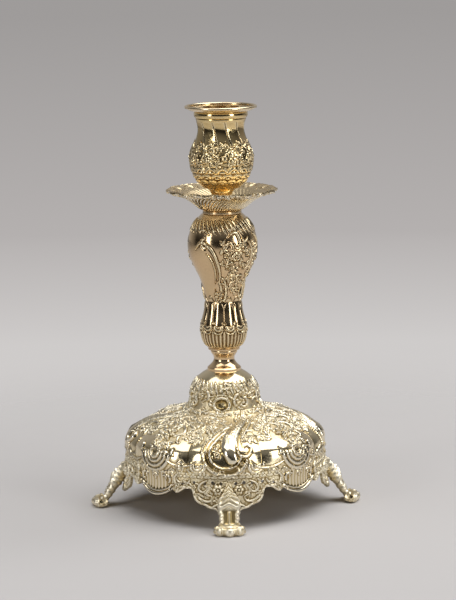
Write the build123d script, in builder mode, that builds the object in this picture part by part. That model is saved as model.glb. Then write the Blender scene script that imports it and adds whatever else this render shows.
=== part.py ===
from build123d import *
import math
import os

# A silver-gilt candlestick on four feet, in millimetres.
# The origin is on the surface it stands on, below the axis. +Z is up and -Y is the front.

# Overall sizes
overall_height = 250.0
body_radius = 61.5
leg_reach = 22.8

# Heights of the stacked pieces
ledge_height = 30.0
shoulder_height = 32.0
dome_height = 23.5
neck_height = 13.0
pan_collar_height = 2.2
pan_seat_height = 14.0
cup_height = 41.8
rim_ring_height = 5.2
flange_height = 3.3

# Radii
dome_radius = 21.6
neck_radius = 10.5
stem_foot_radius = 9.6
stem_top_radius = 12.6
pan_radius = 34.3
candle_radius = 11.25
candle_depth = 27.0
mouth_land = 2.8
rim_ring_overhang = 1.3
flange_overhang = 5.7

# Sheet, rod and fits
sheet = 1.0
rod_radius = 2.5
rod_play = 0.25
solder_gap = 0.05
sleeve_play = 0.25
seat_gap = 0.2

# The stack of heights, from the ledge up
dome_foot = ledge_height + shoulder_height
dome_top = dome_foot + dome_height
neck_top = dome_top + neck_height
flange_bottom = overall_height - flange_height
rim_ring_top = flange_bottom - seat_gap
rim_ring_bottom = rim_ring_top - rim_ring_height
cup_bottom = rim_ring_bottom - cup_height
pan_bottom = cup_bottom - pan_seat_height
stem_top = pan_bottom - pan_collar_height
stem_bottom = neck_top + sheet
rod_hole = rod_radius + rod_play

# What follows from the body and from the candle
foot_reach = body_radius + leg_reach
sleeve_radius = candle_radius + sheet
ring_hole = sleeve_radius + sleeve_play
cup_mouth_radius = ring_hole + mouth_land
rim_ring_radius = cup_mouth_radius + rim_ring_overhang
flange_radius = rim_ring_radius + flange_overhang


def fit_height(outline, first, last):
    """An outline with its first point moved to one height and its last to another."""
    start = outline[0][1]
    scale = (last - first) / (outline[-1][1] - start)
    return [(r, first + (z - start) * scale) for r, z in outline]


def fit_radius(outline, first, last):
    """An outline with its first point moved to one radius and its last to another."""
    start = outline[0][0]
    scale = (last - first) / (outline[-1][0] - start)
    return [(first + (r - start) * scale, z) for r, z in outline]


def raised(outline, height):
    """An outline moved up by a height."""
    return [(r, z + height) for r, z in outline]


def set_in(line, depth, shares=None):
    """A line that runs down or towards the axis, moved square to itself into the metal."""
    moved = []
    for i, (r, z) in enumerate(line):
        before = line[max(i - 1, 0)]
        after = line[min(i + 1, len(line) - 1)]
        run = after[0] - before[0]
        rise = after[1] - before[1]
        step = depth / math.hypot(run, rise)
        if shares:
            step *= shares[i]
        moved.append((r + step * rise, z - step * run))
    return moved


def upright_plane(angle):
    """The plane through the axis at an angle, with radius along its x and height along its y."""
    turn = math.radians(angle)
    out = (math.cos(turn), math.sin(turn), 0)
    side = (math.sin(turn), -math.cos(turn), 0)
    return Plane(origin=(0, 0, 0), x_dir=out, z_dir=side)


def save(part, name):
    """Write one piece under its name."""
    part.label = name
    export_step(part, f"parts/{name}.step")


os.makedirs("parts", exist_ok=True)

# Base shell: a dome over a shoulder of eight lobes, raised from one sheet and turned in below.
# Under the ledge hangs a flared skirt, which is cut to a round lip between two feet.
lobes = 8
lobe_points = 4
crease_depth = 1.7
crease_start = dome_radius + 4.4
crease_full = dome_radius + 22.4
ledge_radius = body_radius - 2.2
lip_radius = body_radius + 1.0
lip_height = ledge_height - 12.7
skirt_top = ledge_height + 1.0

dome_outline = [(-11.1, 23.5), (-5.4, 19.6), (-1.3, 14.2), (0.0, 6.5)]
shoulder_outline = [
    (22.9, 31.7),
    (28.2, 28.2),
    (41.0, 25.0),
    (54.0, 18.7),
    (59.5, 13.8),
    (61.5, 6.8),
]
turned_in = [(body_radius - 0.2, ledge_height + 1.9), (ledge_radius, ledge_height)]
dome_line = [(dome_radius + r, z) for r, z in fit_height(dome_outline, dome_top, dome_foot + 6.5)]
shoulder_line = fit_radius(shoulder_outline, dome_radius + 1.3, body_radius)
shoulder_line = fit_height(shoulder_line, dome_foot + 1.7, ledge_height + 6.8)
shell_line = dome_line + shoulder_line + turned_in


def crease_share(radius, height):
    """How much of the crease depth a point takes: none on the dome or on the ledge."""
    along = (radius - crease_start) / (crease_full - crease_start)
    along = min(max(along, 0.0), 1.0)
    if height <= ledge_height:
        along = 0.0
    return along * along * (3 - 2 * along)


def lobed_ring(radius, height, valley):
    """A level face with lobes, each round at its middle and meeting the next in a valley."""
    count = lobes * lobe_points
    points = []
    for i in range(count):
        turn = 2 * math.pi * i / count
        across = 2 * (i % lobe_points) / lobe_points
        fall = min(across, 2 - across) ** 2
        reach = radius - valley * fall
        points.append((reach * math.cos(turn), reach * math.sin(turn)))
    with BuildSketch(Plane.XY.offset(height)) as ring:
        with BuildLine():
            Spline(*points, periodic=True)
        make_face()
    return ring.sketch


def lobed_rings(line):
    """The level faces of a line that runs down, with creases of one depth square to it."""
    rings = []
    for i, (r, z) in enumerate(line):
        before = line[max(i - 1, 0)]
        after = line[min(i + 1, len(line) - 1)]
        steepness = (before[1] - after[1]) / math.dist(before, after)
        rings.append(lobed_ring(r, z, crease_depth * crease_share(r, z) / steepness))
    return rings


with BuildPart() as dome_and_shoulder:
    loft(lobed_rings(shell_line))

with BuildPart() as base_hollow:
    inner_line = set_in(shell_line, sheet)
    inner_line[0] = (inner_line[0][0], dome_top - sheet)
    inner_line[-1] = (ledge_radius - sheet, ledge_height)
    loft(lobed_rings(inner_line))

apron_half_width = 33.2
apron_turn = math.asin(apron_half_width / ledge_radius)
lip_side_gap = 0.7
lip_half_width = ledge_radius * math.sin(math.pi / 4 - apron_turn) - lip_side_gap
lip_turn = math.degrees(lip_half_width / ledge_radius) + 10
lip_rise = 4.8
with BuildPart() as lip:
    skirt_line = [
        (ledge_radius + 1.0, skirt_top),
        (ledge_radius + 0.3, ledge_height - 3.0),
        (lip_radius - 1.2, lip_height + 3.0),
        (lip_radius, lip_height),
    ]
    skirt_inner = set_in(skirt_line, 0.8 * sheet)
    with BuildSketch(upright_plane(-lip_turn)):
        with BuildLine():
            Spline(*skirt_line)
            Line(skirt_line[-1], skirt_inner[-1])
            Spline(*reversed(skirt_inner))
            Line(skirt_inner[0], skirt_line[0])
        make_face()
    revolve(axis=Axis.Z, revolution_arc=2 * lip_turn)
    with BuildSketch(Plane.YZ):
        with BuildLine():
            edge_left = (-lip_half_width, lip_height + lip_rise)
            edge_right = (lip_half_width, lip_height + lip_rise)
            ThreePointArc(edge_left, (0, lip_height), edge_right)
            Polyline(edge_right, (lip_half_width, 2 * skirt_top), (-lip_half_width, 2 * skirt_top), edge_left)
        make_face()
    extrude(amount=foot_reach, mode=Mode.INTERSECT)

with BuildPart() as base_shell:
    add(dome_and_shoulder.part)
    add(base_hollow.part, mode=Mode.SUBTRACT)
    with PolarLocations(0, 4, start_angle=45):
        add(lip.part)
    with Locations((0, 0, dome_top)):
        Cylinder(rod_hole, 3 * sheet, mode=Mode.SUBTRACT)
save(base_shell.part, "base_shell")

# Feet: each is one casting, a curved apron under the ledge with a bracket leg and a scrolled toe.
apron_thickness = 2.2
apron_flare = 2.8
apron_drop = 19.4
apron_top = ledge_height - solder_gap
apron_inner = ledge_radius - 0.2
toe_radius = 2.9
toe_height = 4.3
leg_width = 12.8
sole_end = foot_reach - toe_radius
sole_start = foot_reach - 8.3

leg_outline = [(60.5, 29.0), (66.5, 25.6), (70.8, 20.4), (73.4, 14.0), (76.6, 9.2), (80.6, 6.9)]
leg_back_outline = [(76.0, 0.0), (73.4, 4.4), (67.6, 11.6), (60.5, 16.6)]
leg_front = [(2.4, 1.0), (3.0, -5.0), (1.6, -12.0), (0.2, -18.0), (0.0, -21.0)]
toe_front = [(3.5, 6.4), (3.6, 4.6), (1.0, 2.6), (-2.0, 0.0)]
apron_side = [(0.0, 1.0), (-0.2, -6.4), (-2.2, -9.6), (-4.6, -8.4)]
apron_arch = [(-4.6, -8.4), (-8.0, -5.2), (-11.6, -6.6)]
apron_edge = [(21.6, -6.6), (20.8, -11.4), (16.8, -15.4), (11.4, -17.4), (6.4, -19.4)]
pierced = [(4.2, -2.8, 1.1), (9.6, -2.6, 1.3), (20.4, -2.4, 0.9), (29.4, -4.4, 0.9)]

with BuildPart() as apron:
    with BuildSketch(upright_plane(-math.degrees(apron_turn) - 4)):
        with BuildLine():
            Polyline(
                (apron_inner, apron_top),
                (apron_inner + apron_thickness, apron_top),
                (apron_inner + apron_thickness + apron_flare, apron_top - apron_drop),
                (apron_inner + apron_flare, apron_top - apron_drop),
                close=True,
            )
        make_face()
    revolve(axis=Axis.Z, revolution_arc=2 * math.degrees(apron_turn) + 8)
    with BuildSketch(Plane.YZ):
        with BuildLine():
            side = Spline(*[(apron_half_width + u, ledge_height + z) for u, z in apron_side])
            arch = Spline(*[(apron_half_width + u, ledge_height + z) for u, z in apron_arch])
            edge = Spline(*raised(fit_radius(apron_edge, apron_half_width - 11.6, leg_width / 2), ledge_height))
            Polyline(side @ 0, (0, ledge_height + 1.0), (0, ledge_height + apron_edge[-1][1]), edge @ 1)
        make_face()
        mirror(about=Plane.YZ)
        for across, height, radius in pierced:
            with Locations((across, ledge_height + height), (-across, ledge_height + height)):
                Circle(radius, mode=Mode.SUBTRACT)
    extrude(amount=foot_reach, mode=Mode.INTERSECT)

with BuildPart() as leg:
    knee = fit_radius(leg_outline, apron_inner + 1.0, sole_end - 0.8)
    knee = fit_height(knee, ledge_height - 1.0, leg_outline[-1][1])
    back_line = fit_radius(leg_back_outline, sole_start, apron_inner + 1.0)
    back_line = fit_height(back_line, 0.0, ledge_height - 13.4)
    with BuildSketch(Plane.XZ):
        with BuildLine():
            front_edge = Spline(*knee)
            Polyline(front_edge @ 1, (sole_end, toe_height), (sole_end, 0), (sole_start, 0))
            back_edge = Spline(*back_line)
            Line(back_edge @ 1, front_edge @ 0)
        make_face()
        with Locations((sole_end, toe_height)):
            Circle(toe_radius)
    extrude(amount=apron_half_width, both=True)
    with BuildSketch(Plane.YZ):
        with BuildLine():
            shin = Spline(*[(leg_width / 2 + u, ledge_height + z) for u, z in leg_front])
            toe = Spline(*[(leg_width / 2 + u, z) for u, z in toe_front])
            Line(shin @ 1, toe @ 0)
            Polyline(toe @ 1, (0, 0), (0, ledge_height + 1.0), shin @ 0)
        make_face()
        mirror(about=Plane.YZ)
    extrude(amount=foot_reach + 1.0, mode=Mode.INTERSECT)

with BuildPart() as foot:
    add(apron.part)
    add(leg.part)
for angle, side_name in [(0, "right"), (90, "back"), (180, "left"), (270, "front")]:
    save(foot.part.rotate(Axis.Z, angle), f"foot_{side_name}")

# Neck: the turned knop between the dome and the stem.
neck_outline = [(-2.4, 13.0), (-2.4, 11.0), (-3.4, 9.4), (-4.1, 7.0), (-3.1, 4.6), (-0.7, 2.2)]
with BuildPart() as base_neck:
    neck_line = [(neck_radius + r, z) for r, z in fit_height(neck_outline, neck_top, dome_top + 2.2)]
    with BuildSketch(Plane.XZ):
        with BuildLine():
            waist = Spline(*neck_line)
            Polyline(
                waist @ 1,
                (neck_radius, dome_top + 1.4),
                (neck_radius, dome_top),
                (rod_hole, dome_top),
                (rod_hole, neck_top),
                waist @ 0,
            )
        make_face()
    revolve(axis=Axis.Z)
save(base_neck.part, "base_neck")

# Stem: a baluster of two bulbs raised from sheet, closed by a turned collar at each end.
stem_mouth = stem_top_radius - 2.6
stem_outline = [
    (12.6, 83.7),
    (18.9, 75.6),
    (21.3, 65.0),
    (19.1, 53.4),
    (13.4, 41.0),
    (11.2, 30.0),
    (12.9, 19.6),
    (14.1, 11.0),
    (12.4, 3.3),
    (9.6, 0.0),
]
with BuildPart() as stem_shell:
    stem_line = fit_height(stem_outline, stem_top, stem_bottom)
    stem_line[0] = (stem_top_radius, stem_top)
    stem_line[-1] = (stem_foot_radius, stem_bottom)
    stem_inner = set_in(stem_line, sheet)
    with BuildSketch(Plane.XZ):
        with BuildLine():
            Spline(*stem_line)
            Polyline(stem_line[-1], (stem_inner[-1][0], stem_bottom), stem_inner[-1])
            Spline(*reversed(stem_inner))
            Polyline(
                stem_inner[0],
                (stem_mouth, stem_inner[0][1]),
                (stem_mouth, stem_top),
                stem_line[0],
            )
        make_face()
    revolve(axis=Axis.Z)
save(stem_shell.part, "stem_shell")

# Collars: the turned plugs in the two ends of the stem.
collar_lip = 1.9
up = (Align.CENTER, Align.CENTER, Align.MIN)
down = (Align.CENTER, Align.CENTER, Align.MAX)
with BuildPart() as stem_foot_collar:
    with Locations((0, 0, neck_top)):
        Cylinder(stem_foot_radius + 0.2, sheet, align=up)
    with Locations((0, 0, stem_bottom)):
        Cylinder(stem_inner[-1][0] - solder_gap, collar_lip, align=up)
    fillet(stem_foot_collar.edges().group_by(Axis.Z)[-1], 0.4)
    with Locations((0, 0, stem_bottom + collar_lip)):
        Hole(rod_hole)
save(stem_foot_collar.part, "stem_foot_collar")

collar_groove = 0.7
with BuildPart() as pan_collar:
    with Locations((0, 0, stem_top)):
        Cylinder(stem_top_radius - 0.6, pan_collar_height, align=up)
        Cylinder(stem_mouth - solder_gap, collar_lip, align=down)
    bead = pan_collar.edges().filter_by(GeomType.CIRCLE).sort_by(SortBy.RADIUS)[-2:]
    fillet(bead, collar_groove)
    with Locations((0, 0, pan_bottom)):
        Hole(rod_hole)
save(pan_collar.part, "pan_collar")

# Drip pan: a shallow dish with a beaded edge, cut to scallops.
pan_scallops = 16
scallop_radius = 3.4
scallop_depth = 0.9
pan_foot_radius = stem_top_radius - 1.4
pan_outline = [(34.3, 12.6), (29.6, 10.9), (23.6, 8.2), (18.0, 4.6), (14.2, 1.6), (11.2, 0.0)]
with BuildPart() as drip_pan:
    pan_line = raised(fit_radius(pan_outline, pan_radius, pan_foot_radius), pan_bottom)
    pan_top_line = set_in(pan_line, sheet)
    with BuildSketch(Plane.XZ):
        with BuildLine():
            Spline(*pan_line)
            Polyline(
                pan_line[-1],
                (rod_hole, pan_bottom),
                (rod_hole, pan_bottom + sheet),
                (pan_top_line[-1][0], pan_bottom + sheet),
                pan_top_line[-1],
            )
            Spline(*reversed(pan_top_line))
            Line(pan_top_line[0], pan_line[0])
        make_face()
    revolve(axis=Axis.Z)
    with PolarLocations(pan_radius + scallop_radius - scallop_depth, pan_scallops):
        Cylinder(scallop_radius, 2 * pan_bottom + pan_seat_height, align=up, mode=Mode.SUBTRACT)
save(drip_pan.part, "drip_pan")

# Cup boss: the turned knop that carries the cup over the pan.
boss_bottom = pan_bottom + sheet
boss_outline = [(10.4, 13.0), (8.0, 11.4), (6.2, 8.0), (6.4, 4.4), (9.0, 2.0)]
with BuildPart() as cup_boss:
    boss_line = fit_height(boss_outline, cup_bottom, boss_bottom + 2.0)
    with BuildSketch(Plane.XZ):
        with BuildLine():
            boss_edge = Spline(*boss_line)
            Polyline(
                boss_edge @ 1,
                (boss_line[-1][0], boss_bottom),
                (rod_hole, boss_bottom),
                (rod_hole, cup_bottom),
                boss_edge @ 0,
            )
        make_face()
    revolve(axis=Axis.Z)
save(cup_boss.part, "cup_boss")

# Cup: a vase raised from sheet, open at the top.
cup_outline = [
    (0.0, 41.8),
    (-0.9, 36.8),
    (0.5, 30.1),
    (3.4, 22.9),
    (4.3, 17.4),
    (2.9, 10.2),
    (-1.0, 3.2),
    (-3.9, 0.0),
]
with BuildPart() as cup_shell:
    cup_line = fit_height(cup_outline, rim_ring_bottom, cup_bottom)
    cup_line = [(cup_mouth_radius + r, z) for r, z in cup_line]
    cup_inner = set_in(cup_line, sheet)
    cup_inner[0] = (cup_inner[0][0], rim_ring_bottom)
    with BuildSketch(Plane.XZ):
        with BuildLine():
            Spline(*cup_line)
            Polyline(
                cup_line[-1],
                (rod_hole, cup_bottom),
                (rod_hole, cup_bottom + sheet),
                (cup_inner[-1][0], cup_bottom + sheet),
                cup_inner[-1],
            )
            Spline(*reversed(cup_inner))
            Line(cup_inner[0], cup_line[0])
        make_face()
    revolve(axis=Axis.Z)
save(cup_shell.part, "cup_shell")

# Rim ring: the moulding on the mouth of the cup, which guides the sleeve of the nozzle.
ring_outline = [(-1.0, 5.2), (-0.2, 4.6), (0.0, 3.2), (-0.4, 1.7), (-1.2, 1.2)]
with BuildPart() as cup_rim_ring:
    ring_line = fit_height(ring_outline, rim_ring_top, rim_ring_bottom + 1.2)
    ring_line = [(rim_ring_radius + r, z) for r, z in ring_line]
    with BuildSketch(Plane.XZ):
        with BuildLine():
            band = Spline(*ring_line)
            ring_foot = RadiusArc(band @ 1, (cup_mouth_radius, rim_ring_bottom), 0.9, short_sagitta=True)
            Polyline(
                ring_foot @ 1,
                (ring_hole, rim_ring_bottom),
                (ring_hole, rim_ring_top),
                band @ 0,
            )
        make_face()
    revolve(axis=Axis.Z)
save(cup_rim_ring.part, "cup_rim_ring")

# Nozzle: a dished flange with a beaded edge, and the sleeve that holds the candle.
bead_radius = 0.9
sleeve_top = flange_bottom + 2.2
sleeve_floor = sleeve_top - candle_depth
with BuildPart() as nozzle_flange:
    bead_centre = (flange_radius - bead_radius, overall_height - bead_radius)
    dish_end = (bead_centre[0] - 0.6, bead_centre[1] - 0.3)
    dish_middle = (rim_ring_radius + 0.6, flange_bottom)
    with BuildSketch(Plane.XZ):
        with BuildLine():
            under = Spline(
                dish_middle,
                (rim_ring_radius + 3.0, flange_bottom + 0.6),
                (dish_end[0] + 0.6, dish_end[1] - 0.3),
                tangents=[(1, 0), (1, 0.6)],
            )
            over = Spline(
                dish_end,
                (rim_ring_radius + 2.6, flange_bottom + 1.6),
                (dish_middle[0] - 0.4, flange_bottom + sheet),
                tangents=[(-1, -0.6), (-1, 0)],
            )
            Line(under @ 1, over @ 0)
            Polyline(
                over @ 1,
                (sleeve_radius + solder_gap, flange_bottom + sheet),
                (sleeve_radius + solder_gap, flange_bottom),
                under @ 0,
            )
        make_face()
        with Locations(bead_centre):
            Circle(bead_radius)
    revolve(axis=Axis.Z)
save(nozzle_flange.part, "nozzle_flange")

with BuildPart() as nozzle_sleeve:
    with Locations((0, 0, sleeve_floor - sheet)):
        Cylinder(sleeve_radius, candle_depth + sheet, align=up)
    with Locations((0, 0, sleeve_floor)):
        Cylinder(candle_radius, candle_depth, align=up, mode=Mode.SUBTRACT)
    fillet(nozzle_sleeve.edges().group_by(Axis.Z)[0], 0.7 * sheet)
save(nozzle_sleeve.part, "nozzle_sleeve")

# Inside: one rod holds the stack together, from a nut in the cup to a nut under the dome.
washer_radius = rod_hole + 5.25
washer_height = 1.5
spring_washer_height = 1.2
nut_across_flats = 2 * rod_radius + 3.0
nut_height = 4.0
rod_stub = 2.5
washer_bottom = dome_top - sheet - washer_height
spring_washer_bottom = washer_bottom - spring_washer_height
lower_nut_bottom = spring_washer_bottom - nut_height
upper_nut_bottom = cup_bottom + sheet
rod_bottom = lower_nut_bottom - rod_stub
rod_top = upper_nut_bottom + nut_height + rod_stub
nut_corner = nut_across_flats / math.sqrt(3)

with BuildPart() as tie_rod:
    with Locations((0, 0, rod_bottom)):
        Cylinder(rod_radius, rod_top - rod_bottom, align=up)
    chamfer(tie_rod.edges().filter_by(GeomType.CIRCLE), 0.5)
save(tie_rod.part, "tie_rod")

with BuildPart() as dome_washer:
    with Locations((0, 0, washer_bottom)):
        Cylinder(washer_radius, washer_height, align=up)
    chamfer(dome_washer.edges().group_by(Axis.Z)[0], 0.4)
    with Locations((0, 0, washer_bottom + washer_height)):
        Hole(rod_hole)
save(dome_washer.part, "dome_washer")

with BuildPart() as spring_washer:
    with Locations((0, 0, spring_washer_bottom)):
        Cylinder(rod_radius + 2.2, spring_washer_height, align=up)
    with Locations((0, 0, washer_bottom)):
        Hole(rod_hole)
    with Locations((rod_radius + 1.0, 0, spring_washer_bottom)):
        Box(4.0, 0.8, spring_washer_height, align=up, mode=Mode.SUBTRACT)
save(spring_washer.part, "spring_washer")

for nut_name, nut_bottom in [("rod_nut", lower_nut_bottom), ("cup_nut", upper_nut_bottom)]:
    with BuildPart() as nut:
        with BuildSketch(Plane.XY.offset(nut_bottom)):
            RegularPolygon(nut_corner, 6)
        extrude(amount=nut_height)
        chamfer(nut.edges().group_by(Axis.Z)[-1], 0.4)
        with Locations((0, 0, nut_bottom + nut_height)):
            Hole(rod_radius + solder_gap)
    save(nut.part, nut_name)
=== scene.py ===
import math

import bpy
import numpy as np
from mathutils import Matrix, Vector


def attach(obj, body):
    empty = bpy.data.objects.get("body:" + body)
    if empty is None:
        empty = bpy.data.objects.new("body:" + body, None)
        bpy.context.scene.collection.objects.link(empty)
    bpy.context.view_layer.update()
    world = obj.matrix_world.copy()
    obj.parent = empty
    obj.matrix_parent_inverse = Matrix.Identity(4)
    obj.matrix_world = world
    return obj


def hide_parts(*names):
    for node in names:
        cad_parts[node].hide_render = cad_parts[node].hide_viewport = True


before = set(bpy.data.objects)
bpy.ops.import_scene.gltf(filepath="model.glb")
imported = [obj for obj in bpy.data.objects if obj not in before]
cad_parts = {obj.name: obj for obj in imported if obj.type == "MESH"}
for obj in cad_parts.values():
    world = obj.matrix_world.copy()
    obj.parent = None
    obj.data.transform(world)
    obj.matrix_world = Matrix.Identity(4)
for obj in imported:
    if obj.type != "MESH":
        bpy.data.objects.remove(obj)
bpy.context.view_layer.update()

# A silver-gilt candlestick with raised and chased relief. Shapes are written in millimetres.
# Angles round the axis are in degrees from the front, and grow towards the right.
mm = 0.001


# Curves and grids

def natural_spline(points, count):
    """Evenly spaced places on the smooth line through some points."""
    points = np.array(points, float)
    chords = np.concatenate([[0], np.cumsum(np.linalg.norm(np.diff(points, axis=0), axis=1))])
    size, gaps = len(points), np.diff(chords)
    matrix, right = np.zeros((size, size)), np.zeros(points.shape)
    matrix[0, 0] = matrix[-1, -1] = 1
    for i in range(1, size - 1):
        matrix[i, i - 1:i + 2] = gaps[i - 1], 2 * (gaps[i - 1] + gaps[i]), gaps[i]
        slopes = (points[i + 1] - points[i]) / gaps[i], (points[i] - points[i - 1]) / gaps[i - 1]
        right[i] = 6 * (slopes[0] - slopes[1])
    bends = np.linalg.solve(matrix, right)
    steps_between = 40
    fine = np.linspace(0, chords[-1], steps_between * size)
    k = np.clip(np.searchsorted(chords, fine) - 1, 0, size - 2)
    before, after, gap = (fine - chords[k])[:, None], (chords[k + 1] - fine)[:, None], gaps[k][:, None]
    line = (bends[k] * after ** 3 + bends[k + 1] * before ** 3) / (6 * gap)
    line += (points[k] / gap - bends[k] * gap / 6) * after
    line += (points[k + 1] / gap - bends[k + 1] * gap / 6) * before
    along = np.concatenate([[0], np.cumsum(np.linalg.norm(np.diff(line, axis=0), axis=1))])
    even = np.linspace(0, along[-1], count)
    return even, np.stack([np.interp(even, along, line[:, j]) for j in range(points.shape[1])], 1)


def ease(x):
    """From 0 to 1 with a soft start and end."""
    x = np.clip(x, 0, 1)
    return x * x * (3 - 2 * x)


def rounded(x, power=0.5):
    """A round top: 1 in the middle, falling to 0 where x is 1 on either side."""
    return np.clip(1 - x ** 2, 0, 1) ** power


def ripple(x, middle, width):
    """A soft bump of 1 about a middle."""
    return np.exp(-((x - middle) / width) ** 2)


def blurred(field, radius, spacing):
    """A field smoothed over a radius, joined end to end across its columns."""
    pad = int(3 * radius / spacing) + 1
    wide = np.pad(field, ((pad, pad), (0, 0)), mode="edge")
    rows = np.fft.fftfreq(wide.shape[0])[:, None]
    columns = np.fft.rfftfreq(wide.shape[1])[None, :]
    keep = np.exp(-2 * (math.pi * radius / spacing) ** 2 * (rows ** 2 + columns ** 2))
    return np.fft.irfft2(np.fft.rfft2(wide) * keep, wide.shape)[pad:-pad]


def grain(shape, size, spacing, seed):
    """Even random bumps of one size, with a spread of 1."""
    rough = np.random.default_rng(seed).standard_normal(shape)
    soft = blurred(rough, size, spacing)
    return soft / soft.std()


class Skin:
    """A sheet that runs down an outline and round the axis, with relief raised on it."""

    def __init__(self, outline, spacing, start, span):
        length = natural_spline(outline, 2)[0][-1]
        rows = int(length / spacing) + 1
        self.along, line = natural_spline(outline, rows)
        self.reach, self.level = line[:, 0], line[:, 1]
        columns = int(math.radians(span) * self.reach.max() / spacing)
        self.start, self.span = start, span
        self.turn = start + span * np.arange(columns) / columns
        self.spacing = spacing
        shape = (rows, columns)
        self.form, self.chase, self.cut = np.zeros(shape), np.zeros(shape), np.zeros(shape)
        self.cover, self.matt, self.rough = np.zeros(shape), np.zeros(shape), np.zeros(shape)

    def offset(self, turn, along, rows=slice(None)):
        """How far the sheet's places lie across and down from one place."""
        away = (self.turn - turn + self.span / 2) % self.span - self.span / 2
        across = np.radians(away)[None, :] * self.reach[rows][:, None]
        return across, np.broadcast_to((self.along[rows] - along)[:, None], across.shape)

    def around(self, turn, along, far):
        """The rows within a distance of one place, and how far their places lie from it."""
        rows = slice(*np.searchsorted(self.along, [along - far, along + far]))
        return rows, *self.offset(turn, along, rows)

    def place(self, turn, along, across, down):
        """The turn and the place along of points given in millimetres from one place."""
        there = along + np.asarray(down, float)
        reach = np.interp(there, self.along, self.reach)
        return np.stack([turn + np.degrees(np.asarray(across, float) / reach), there], 1)

    def near(self, path, width):
        """For the places near a path: distance, as a share of the width, and nearest step."""
        low, high = path[:, 1].min() - width.max(), path[:, 1].max() + width.max()
        first, last = np.searchsorted(self.along, [low, high])
        rows = slice(max(first, 0), max(last, first + 1))
        best = step = None
        for i, (turn, along) in enumerate(path):
            across, down = self.offset(turn, along, rows)
            gap = (across ** 2 + down ** 2) / width[i] ** 2
            if best is None:
                best, step = gap, np.zeros(gap.shape, int)
                continue
            nearer = gap < best
            best, step = np.where(nearer, gap, best), np.where(nearer, i, step)
        return rows, np.sqrt(best), step

    def stamp(self, rows, height, mask):
        """Lay a motif over what is there, where its mask says."""
        self.chase[rows] = self.chase[rows] * (1 - mask) + height * mask
        self.cover[rows] = np.maximum(self.cover[rows], mask)

    def lift(self, rows, height, mask):
        """Raise a motif where it stands higher than what is there."""
        self.chase[rows] = np.maximum(self.chase[rows], height * mask)
        self.cover[rows] = np.maximum(self.cover[rows], mask)

    def carve(self, rows, depth):
        """Cut lines into the metal, where nothing deeper is there."""
        self.cut[rows] = np.minimum(self.cut[rows], -depth)

    def fade(self, share):
        """Let the relief die away where a share for each row falls to nothing."""
        self.chase *= share[:, None]
        self.cut *= share[:, None]

    def raised(self, along, rise):
        """Radius and height of places along the sheet that are raised off it."""
        down = np.gradient(self.along)
        fall, spread = np.gradient(self.level) / down, np.gradient(self.reach) / down
        lines = self.reach, self.level, fall, spread
        reach, level, fall, spread = [np.interp(along, self.along, line) for line in lines]
        return reach - fall * rise, level + spread * rise

    def height(self):
        """The relief in millimetres outwards."""
        return self.form + self.chase + self.cut + self.matt * (1 - self.cover)


# Motifs of the chaser, drawn on a skin

def at_level(skin, level):
    """The place along a skin at a height."""
    return float(np.interp(-level, -skin.level, skin.along))


def at_levels(skin, points):
    return [(turn, at_level(skin, level)) for turn, level in points]


def path_of(skin, points, spacing=0.45):
    """Close steps on the smooth line through places given as turn and place along."""
    points = np.array(points, float)
    reach = np.interp(points[:, 1], skin.along, skin.reach)
    middle = points[0, 0]
    flat = np.stack([np.radians(points[:, 0] - middle) * reach, points[:, 1]], 1)
    length = np.linalg.norm(np.diff(flat, axis=0), axis=1).sum()
    return natural_spline(points, max(int(length / spacing), 6))[1]


def stroke(skin, points, width, height, taper=(0.35, 0.35), trench=0.0, way="lift"):
    """A raised line, narrow at its ends, with a chased trench along both sides."""
    path = path_of(skin, points)
    t = np.linspace(0, 1, len(path))
    start, end = taper
    swell = 1 - (1 - start) * (1 - ease(t / 0.35)) - (1 - end) * (1 - ease((1 - t) / 0.35))
    reached = 1.6
    rows, q, step = skin.near(path, reached * width * swell)
    q = q * reached
    if trench:
        skin.carve(rows, trench * ripple(q, 1.2, 0.22))
    tall = height * np.sqrt(swell[step]) * rounded(q, 0.6)
    (skin.lift if way == "lift" else skin.stamp)(rows, tall, ease((1.15 - q) / 0.3))


def groove(skin, points, width, depth):
    """A line chased into the metal."""
    path = path_of(skin, points)
    reached = 1.5
    rows, q, step = skin.near(path, np.full(len(path), reached * width))
    skin.carve(rows, depth * rounded(reached * q, 1))


def curl(skin, turn, along, length, angle, bend, width, height, flip=1, **more):
    """A scroll: a bowed line whose ends roll up. A negative bend at one end makes an S."""
    steps, kept_every, roll = 46, 3, 230
    t = np.linspace(-1, 1, steps)
    rolled = np.clip((np.abs(t) - 0.45) / 0.55, 0, 1)
    heading = np.radians(angle + flip * (bend * t / 2 + np.sign(t) * (rolled ** 1.6 * roll)))
    step = length / (steps - 1) * (1 - 0.55 * rolled)
    x, y = np.cumsum(np.cos(heading) * step), np.cumsum(np.sin(heading) * step)
    x, y = (x - x[steps // 2])[::kept_every], (y - y[steps // 2])[::kept_every]
    stroke(skin, skin.place(turn, along, x, y), width, height, **more)


def drop(skin, points, widths, height):
    """A smooth swelling line whose half width is given along its length."""
    path = path_of(skin, points)
    wide = np.interp(np.linspace(0, 1, len(path)), np.linspace(0, 1, len(widths)), widths)
    reached = 1.1
    rows, q, step = skin.near(path, reached * wide)
    q = q * reached
    tall = height * (wide[step] / max(widths)) ** 0.7 * rounded(q, 0.75)
    skin.stamp(rows, tall, ease((1.05 - q) / 0.12))


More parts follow.
